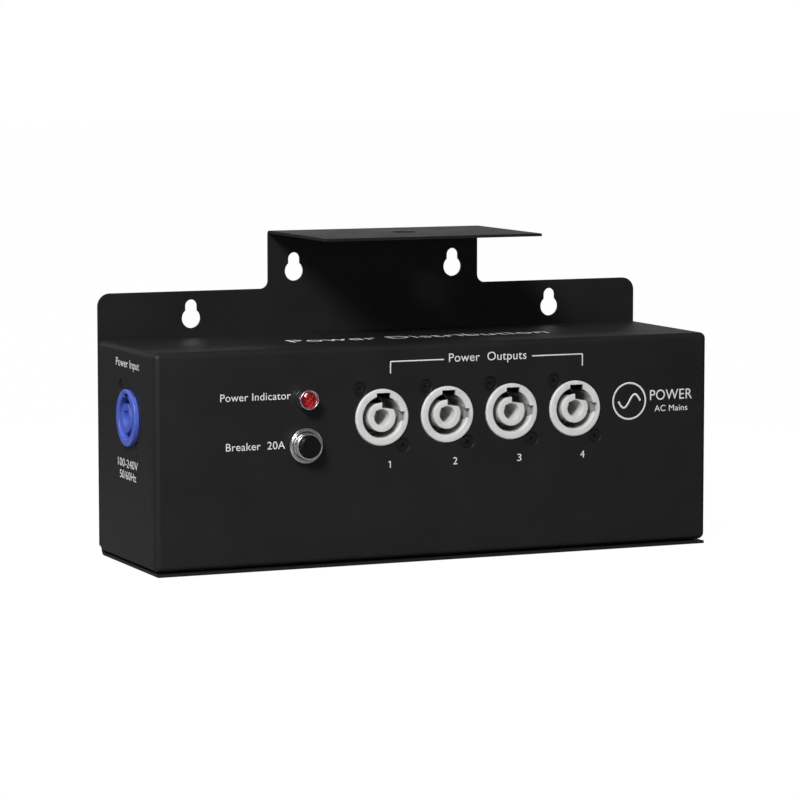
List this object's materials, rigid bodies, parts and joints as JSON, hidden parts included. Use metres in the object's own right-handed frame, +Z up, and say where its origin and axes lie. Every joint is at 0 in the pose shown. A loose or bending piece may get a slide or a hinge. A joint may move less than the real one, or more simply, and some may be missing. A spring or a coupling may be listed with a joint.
{
  "type": "power distribution box",
  "caption": "Wall-hung sheet-steel power splitter: C-shaped mounting bracket with keyholes and clamp shelf, box cover, twist-lock inlet and outlets, reset breaker and indicator lamp.",
  "frame": {"origin": "centre of the base plate's underside, midway between the cover's front face and the back plate's rear face", "axes": "+X along the front to the viewer's right, +Y towards the wall, +Z up"},
  "size_m": [0.2568, 0.0798, 0.1372],
  "materials": {
    "powder_coat": "black fine-texture powder coat",
    "outlet_plastic": "light grey moulded nylon, satin",
    "inlet_plastic": "blue moulded nylon, satin",
    "black_plastic": "black phenolic, matte",
    "button_plastic": "black moulded plastic, satin",
    "chrome": "bright nickel-chrome plate",
    "zinc": "zinc-plated steel",
    "spring_steel": "bright spring wire",
    "black_steel": "black-oxide screw steel",
    "brass": "brass blade",
    "lamp_red": "clear red moulded lens, gloss",
    "wire_brown": "brown PVC insulation",
    "wire_blue": "blue PVC insulation",
    "wire_green": "green-yellow PVC insulation",
    "legend_white": "white screen-printed ink"
  },
  "bodies": {
    "housing": {"mounting_bracket": "powder_coat", "front_cover": "powder_coat", "inlet_housing": "inlet_plastic", "inlet_line_contact": "brass", "inlet_neutral_contact": "brass", "inlet_earth_contact": "brass", "inlet_screw_upper": "black_steel", "inlet_screw_lower": "black_steel", "outlet_1_housing": "outlet_plastic", "outlet_1_line_contact": "brass", "outlet_1_neutral_contact": "brass", "outlet_1_earth_contact": "brass", "outlet_1_screw_upper": "black_steel", "outlet_1_screw_lower": "black_steel", "outlet_2_housing": "outlet_plastic", "outlet_2_line_contact": "brass", "outlet_2_neutral_contact": "brass", "outlet_2_earth_contact": "brass", "outlet_2_screw_upper": "black_steel", "outlet_2_screw_lower": "black_steel", "outlet_3_housing": "outlet_plastic", "outlet_3_line_contact": "brass", "outlet_3_neutral_contact": "brass", "outlet_3_earth_contact": "brass", "outlet_3_screw_upper": "black_steel", "outlet_3_screw_lower": "black_steel", "outlet_4_housing": "outlet_plastic", "outlet_4_line_contact": "brass", "outlet_4_neutral_contact": "brass", "outlet_4_earth_contact": "brass", "outlet_4_screw_upper": "black_steel", "outlet_4_screw_lower": "black_steel", "breaker_body": "black_plastic", "breaker_neck": "chrome", "breaker_nut": "chrome", "breaker_spring": "spring_steel", "breaker_line_terminal": "brass", "breaker_load_terminal": "brass", "lamp_bezel": "chrome", "lamp_lens": "lamp_red", "lamp_body": "black_plastic", "lamp_nut": "zinc", "base_screw_left_front": "black_steel", "base_screw_left_rear": "black_steel", "base_screw_right_front": "black_steel", "base_screw_right_rear": "black_steel", "back_screw_left": "black_steel", "back_screw_right": "black_steel", "earth_stud": "zinc", "earth_nut": "zinc", "line_supply_wire": "wire_brown", "line_bus_wire": "wire_brown", "lamp_lead_line": "wire_brown", "neutral_wire": "wire_blue", "lamp_lead_neutral": "wire_blue", "earth_bond_wire": "wire_green", "earth_bus_wire": "wire_green"},
    "reset_button": {"breaker_button": "button_plastic"}
  },
  "joints": [
    {"name": "breaker_button_slide", "type": "slide", "parent": "housing", "child": "reset_button", "axis": [0, -1, 0], "range_m": [-0.001, 0.0045], "deforming": ["breaker_spring"]}
  ]
}
